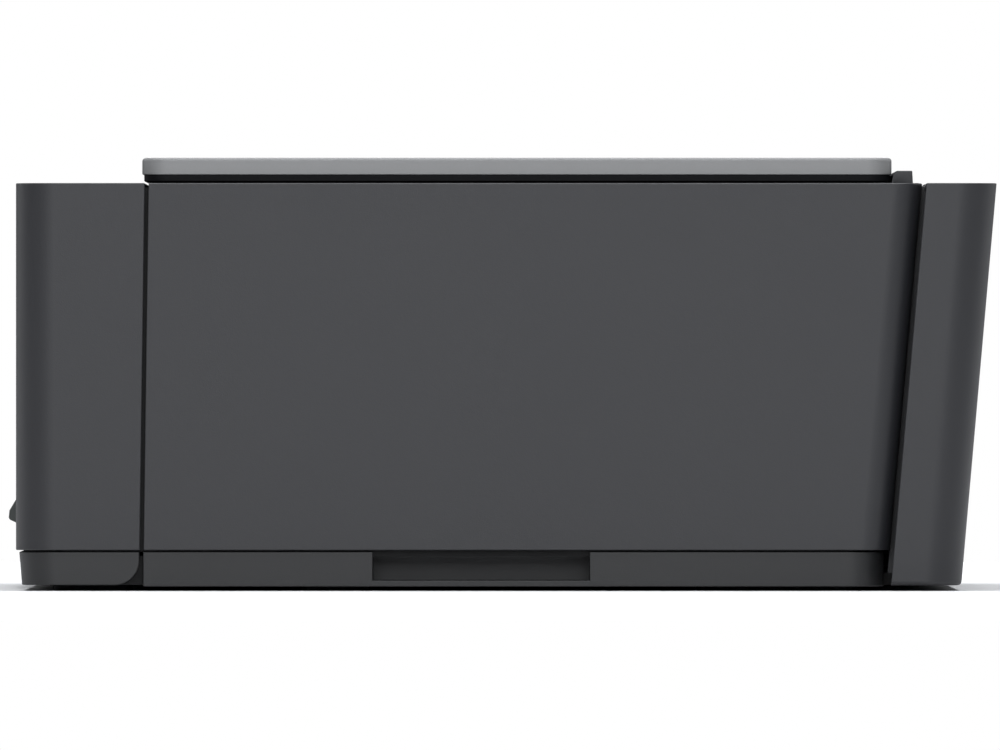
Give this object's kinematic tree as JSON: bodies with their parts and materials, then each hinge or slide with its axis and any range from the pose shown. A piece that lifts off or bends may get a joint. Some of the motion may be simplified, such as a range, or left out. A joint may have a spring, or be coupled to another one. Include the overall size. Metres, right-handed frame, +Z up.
{
  "type": "inkjet printer",
  "caption": "Refillable inkjet printer with a flatbed scanner under a hinged lid, a rear sheet feeder, a front output tray and side ink tanks.",
  "frame": {"origin": "middle of the bounding box, on the plane of the feet", "axes": "+Z up, +X to the user's right, the front with the output tray faces -Y"},
  "size_m": [0.4346, 0.3614, 0.1575],
  "materials": {
    "charcoal_plastic": "fine moulded texture, dark grey",
    "base_plastic": "fine moulded texture, darker grey",
    "lid_plastic": "fine moulded texture, light grey",
    "black_plastic": "satin moulded black",
    "frame_plastic": "unpainted moulded dark grey",
    "gear_plastic": "natural acetal",
    "panel_gloss": "polished black",
    "screen": "glossy display window",
    "button_plastic": "satin keycap",
    "rubber": "soft dark rubber",
    "scan_glass": "clear float glass",
    "foam": "white foam-backed sheet",
    "tank_plastic": "translucent moulded tank",
    "steel": "zinc-plated steel",
    "belt": "reinforced toothed belt",
    "tube": "translucent elastomer tube",
    "board": "green solder mask",
    "cap_black": "satin black",
    "cap_cyan": "satin cyan",
    "cap_magenta": "satin magenta",
    "cap_yellow": "satin yellow"
  },
  "bodies": {
    "chassis": {"base_pan": "base_plastic", "front_skirt": "base_plastic", "front_bezel": "charcoal_plastic", "right_side_cover": "charcoal_plastic", "left_side_cover": "charcoal_plastic", "rear_cover": "charcoal_plastic", "rubber_feet": "rubber", "case_screws": "steel", "scanner_base": "black_plastic", "scanner_glass": "scan_glass", "scan_rail": "steel", "platen_frame": "frame_plastic", "paper_guide": "frame_plastic", "drive_motors": "steel", "chassis_beam": "steel", "guide_rod": "steel", "carriage_belt": "belt", "service_station": "frame_plastic", "ink_tanks": "tank_plastic", "ink_tubes": "tube", "output_tray": "black_plastic", "control_panel": "panel_gloss", "display": "screen", "circuit_boards": "board", "power_supply": "frame_plastic"},
    "lid": {"lid_cover": "lid_plastic", "lid_inner_panel": "black_plastic", "lid_pad": "foam"},
    "carriage": {"carriage": "frame_plastic", "print_heads": "frame_plastic"},
    "scan_head": {"scan_head": "frame_plastic"},
    "carriage_latch": {"carriage_latch": "frame_plastic"},
    "carriage_pulley": {"carriage_pulley": "gear_plastic"},
    "idler_pulley": {"idler_pulley": "gear_plastic"},
    "feed_roller": {"feed_roller": "steel"},
    "output_roller": {"output_roller": "steel"},
    "star_wheels": {"star_wheels": "gear_plastic"},
    "pinch_rollers": {"pinch_rollers": "rubber"},
    "pick_roller": {"pick_roller": "rubber"},
    "idler_gear": {"idler_gear": "gear_plastic"},
    "transfer_gear": {"transfer_gear": "gear_plastic"},
    "motor_pinion": {"motor_pinion": "gear_plastic"},
    "service_sled": {"service_sled": "frame_plastic"},
    "tank_lid": {"tank_lid": "charcoal_plastic"},
    "output_extender": {"output_extender": "black_plastic"},
    "front_door": {"front_door": "charcoal_plastic"},
    "input_flap": {"input_flap": "charcoal_plastic"},
    "input_extension": {"input_extension": "charcoal_plastic"},
    "left_paper_guide": {"left_paper_guide": "black_plastic"},
    "right_paper_guide": {"right_paper_guide": "black_plastic"},
    "guide_pinion": {"guide_pinion": "gear_plastic"},
    "tank_cap_black": {"tank_cap_black": "cap_black"},
    "tank_cap_cyan": {"tank_cap_cyan": "cap_cyan"},
    "tank_cap_magenta": {"tank_cap_magenta": "cap_magenta"},
    "tank_cap_yellow": {"tank_cap_yellow": "cap_yellow"},
    "power_button": {"power_button": "button_plastic"},
    "wireless_button": {"wireless_button": "button_plastic"},
    "cancel_button": {"cancel_button": "button_plastic"},
    "copy_black_button": {"copy_black_button": "button_plastic"},
    "copy_colour_button": {"copy_colour_button": "button_plastic"}
  },
  "joints": [
    {"name": "lid_hinge", "type": "hinge", "parent": "chassis", "child": "lid", "pos_m": [0, 0.14615, 0.1495], "axis": [-1, 0, 0], "range_deg": [0, 80]},
    {"name": "scan_head_travel", "type": "slide", "parent": "chassis", "child": "scan_head", "axis": [1, 0, 0], "range_m": [0, 0.3]},
    {"name": "carriage_travel", "type": "slide", "parent": "chassis", "child": "carriage", "axis": [-1, 0, 0], "range_m": [0, 0.29]},
    {"name": "latch_hinge", "type": "hinge", "parent": "carriage", "child": "carriage_latch", "pos_m": [0.148, 0.043, 0.0996], "axis": [-1, 0, 0], "range_deg": [0, 25]},
    {"name": "carriage_pulley_spin", "type": "hinge", "parent": "chassis", "child": "carriage_pulley", "pos_m": [-0.186, 0.0635, 0.095], "axis": [0, 1, 0], "continuous": true},
    {"name": "idler_pulley_spin", "type": "hinge", "parent": "chassis", "child": "idler_pulley", "pos_m": [0.192, 0.0635, 0.095], "axis": [0, 1, 0], "continuous": true},
    {"name": "feed_roller_spin", "type": "hinge", "parent": "chassis", "child": "feed_roller", "pos_m": [0, 0.05, 0.043], "axis": [1, 0, 0], "continuous": true},
    {"name": "output_roller_spin", "type": "hinge", "parent": "chassis", "child": "output_roller", "pos_m": [0, -0.022, 0.043], "axis": [1, 0, 0], "continuous": true},
    {"name": "star_wheel_spin", "type": "hinge", "parent": "chassis", "child": "star_wheels", "pos_m": [0, -0.022, 0.0532], "axis": [1, 0, 0], "continuous": true},
    {"name": "pinch_roller_spin", "type": "hinge", "parent": "chassis", "child": "pinch_rollers", "pos_m": [0, 0.05, 0.0517], "axis": [1, 0, 0], "continuous": true},
    {"name": "pick_roller_spin", "type": "hinge", "parent": "chassis", "child": "pick_roller", "pos_m": [0, 0.135, 0.066], "axis": [1, 0, 0], "continuous": true},
    {"name": "idler_gear_spin", "type": "hinge", "parent": "chassis", "child": "idler_gear", "pos_m": [-0.197, 0.014, 0.043], "axis": [1, 0, 0], "continuous": true},
    {"name": "transfer_gear_spin", "type": "hinge", "parent": "chassis", "child": "transfer_gear", "pos_m": [-0.197, 0.1002, 0.04796], "axis": [1, 0, 0], "continuous": true},
    {"name": "motor_pinion_spin", "type": "hinge", "parent": "chassis", "child": "motor_pinion", "pos_m": [-0.197, 0.07836, 0.038], "axis": [1, 0, 0], "continuous": true},
    {"name": "service_sled_travel", "type": "slide", "parent": "chassis", "child": "service_sled", "axis": [0, -1, 0], "range_m": [0, 0.022]},
    {"name": "tank_cap_black_hinge", "type": "hinge", "parent": "chassis", "child": "tank_cap_black", "pos_m": [0.10775, -0.13965, 0.1215], "axis": [-1, 0, 0], "range_deg": [0, 100]},
    {"name": "tank_cap_cyan_hinge", "type": "hinge", "parent": "chassis", "child": "tank_cap_cyan", "pos_m": [0.13525, -0.13965, 0.1215], "axis": [-1, 0, 0], "range_deg": [0, 100]},
    {"name": "tank_cap_magenta_hinge", "type": "hinge", "parent": "chassis", "child": "tank_cap_magenta", "pos_m": [0.16275, -0.13965, 0.1215], "axis": [-1, 0, 0], "range_deg": [0, 100]},
    {"name": "tank_cap_yellow_hinge", "type": "hinge", "parent": "chassis", "child": "tank_cap_yellow", "pos_m": [0.19025, -0.13965, 0.1215], "axis": [-1, 0, 0], "range_deg": [0, 100]},
    {"name": "tank_lid_hinge", "type": "hinge", "parent": "chassis", "child": "tank_lid", "pos_m": [0.14875, -0.13615, 0.1468], "axis": [-1, 0, 0], "range_deg": [0, 80]},
    {"name": "extender_slide", "type": "slide", "parent": "chassis", "child": "output_extender", "axis": [0, -1, 0], "range_m": [0, 0.12]},
    {"name": "front_door_hinge", "type": "hinge", "parent": "chassis", "child": "front_door", "pos_m": [-0.02, -0.1725, 0.055], "axis": [1, 0, 0], "range_deg": [0, 92]},
    {"name": "input_flap_hinge", "type": "hinge", "parent": "chassis", "child": "input_flap", "pos_m": [-0.02, 0.16829, 0.05235], "axis": [-1, 0, 0], "range_deg": [0, 18]},
    {"name": "extension_slide", "type": "slide", "parent": "input_flap", "child": "input_extension", "axis": [0, 0.0877, 0.9962], "range_m": [0, 0.042]},
    {"name": "left_guide_slide", "type": "slide", "parent": "input_flap", "child": "left_paper_guide", "axis": [1, 0, 0], "range_m": [0, 0.057]},
    {"name": "right_guide_slide", "type": "slide", "parent": "input_flap", "child": "right_paper_guide", "axis": [-1, 0, 0], "range_m": [0, 0.057]},
    {"name": "guide_pinion_spin", "type": "hinge", "parent": "input_flap", "child": "guide_pinion", "pos_m": [-0.02, 0.15868, 0.07779], "axis": [0, 0.9962, -0.0877], "continuous": true},
    {"name": "power_press", "type": "slide", "parent": "chassis", "child": "power_button", "axis": [0, 0, -1], "range_m": [0, 0.0006], "stiffness_N_per_m": 400},
    {"name": "wireless_press", "type": "slide", "parent": "chassis", "child": "wireless_button", "axis": [0, 0, -1], "range_m": [0, 0.0006], "stiffness_N_per_m": 400},
    {"name": "cancel_press", "type": "slide", "parent": "chassis", "child": "cancel_button", "axis": [0, 0, -1], "range_m": [0, 0.0006], "stiffness_N_per_m": 400},
    {"name": "copy_black_press", "type": "slide", "parent": "chassis", "child": "copy_black_button", "axis": [0, 0, -1], "range_m": [0, 0.0006], "stiffness_N_per_m": 400},
    {"name": "copy_colour_press", "type": "slide", "parent": "chassis", "child": "copy_colour_button", "axis": [0, 0, -1], "range_m": [0, 0.0006], "stiffness_N_per_m": 400}
  ],
  "couplings": [
    {"joint": "carriage_pulley_spin", "follows": "carriage_travel", "rad_per_m": 144.93},
    {"joint": "idler_pulley_spin", "follows": "carriage_travel", "rad_per_m": 144.93},
    {"joint": "output_roller_spin", "follows": "feed_roller_spin", "ratio": 1},
    {"joint": "star_wheel_spin", "follows": "feed_roller_spin", "ratio": -1.2222},
    {"joint": "pinch_roller_spin", "follows": "feed_roller_spin", "ratio": -1.8333},
    {"joint": "idler_gear_spin", "follows": "feed_roller_spin", "ratio": -2},
    {"joint": "motor_pinion_spin", "follows": "feed_roller_spin", "ratio": -5},
    {"joint": "transfer_gear_spin", "follows": "feed_roller_spin", "ratio": 1.25},
    {"joint": "pick_roller_spin", "follows": "feed_roller_spin", "ratio": -1.2},
    {"joint": "right_guide_slide", "follows": "left_guide_slide", "ratio": 1},
    {"joint": "guide_pinion_spin", "follows": "left_guide_slide", "rad_per_m": 250}
  ]
}
